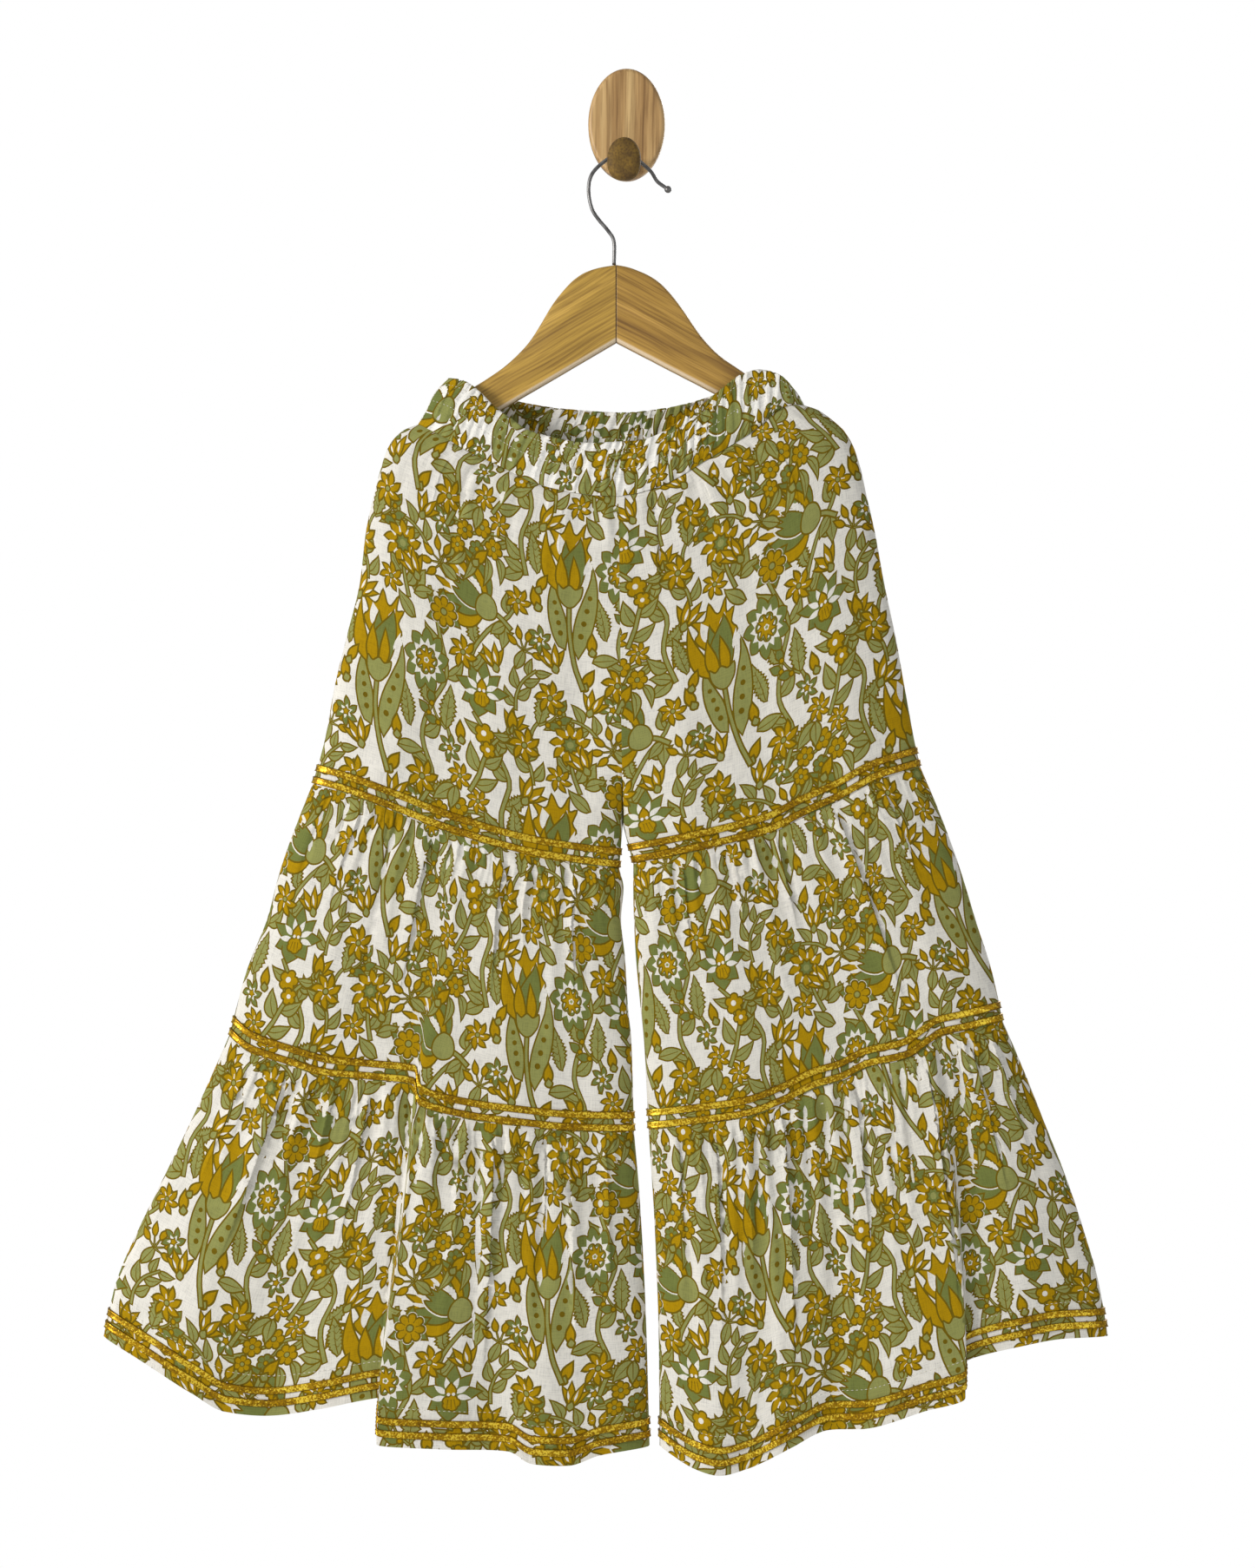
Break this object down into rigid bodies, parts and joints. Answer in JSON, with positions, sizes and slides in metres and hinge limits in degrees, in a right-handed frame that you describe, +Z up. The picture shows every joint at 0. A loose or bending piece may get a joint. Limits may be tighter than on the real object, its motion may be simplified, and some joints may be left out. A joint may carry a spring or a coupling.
{
  "type": "tiered sharara trousers on a hanger and wall peg",
  "caption": "Child's tiered sharara trousers in floral printed cotton with gold braid rows, hung on a wooden hanger from an oval wall plaque with a peg.",
  "frame": {"origin": "on the plaque's flat back face, 6.2 mm under its centre, on the wall", "axes": "+Z up, +Y into the wall, so the garment's front faces -Y and +X is to the right as seen from the front"},
  "size_m": [0.6397, 0.0562, 0.8973],
  "materials": {
    "printed_cotton": "matte plain weave, printed",
    "gold_braid": "metallic thread, glossy",
    "hanger_wood": "satin varnish",
    "plaque_wood": "matte oiled",
    "hook_steel": "bright drawn wire"
  },
  "bodies": {
    "root": {"waistband_front": "printed_cotton", "waistband_back": "printed_cotton", "upper_left_front": "printed_cotton", "upper_left_back": "printed_cotton", "upper_right_front": "printed_cotton", "upper_right_back": "printed_cotton", "middle_left_front": "printed_cotton", "middle_left_back": "printed_cotton", "middle_right_front": "printed_cotton", "middle_right_back": "printed_cotton", "lower_left_front": "printed_cotton", "lower_left_back": "printed_cotton", "lower_right_front": "printed_cotton", "lower_right_back": "printed_cotton", "braid_seam1_left_low": "gold_braid", "braid_seam1_left_high": "gold_braid", "braid_seam1_right_low": "gold_braid", "braid_seam1_right_high": "gold_braid", "braid_seam2_left_low": "gold_braid", "braid_seam2_left_high": "gold_braid", "braid_seam2_right_low": "gold_braid", "braid_seam2_right_high": "gold_braid", "braid_hem_left_low": "gold_braid", "braid_hem_left_high": "gold_braid", "braid_hem_right_low": "gold_braid", "braid_hem_right_high": "gold_braid", "hanger_left": "hanger_wood", "hanger_right": "hanger_wood", "hook_wire": "hook_steel", "wall_plaque": "plaque_wood", "wall_peg": "plaque_wood"}
  },
  "joints": []
}
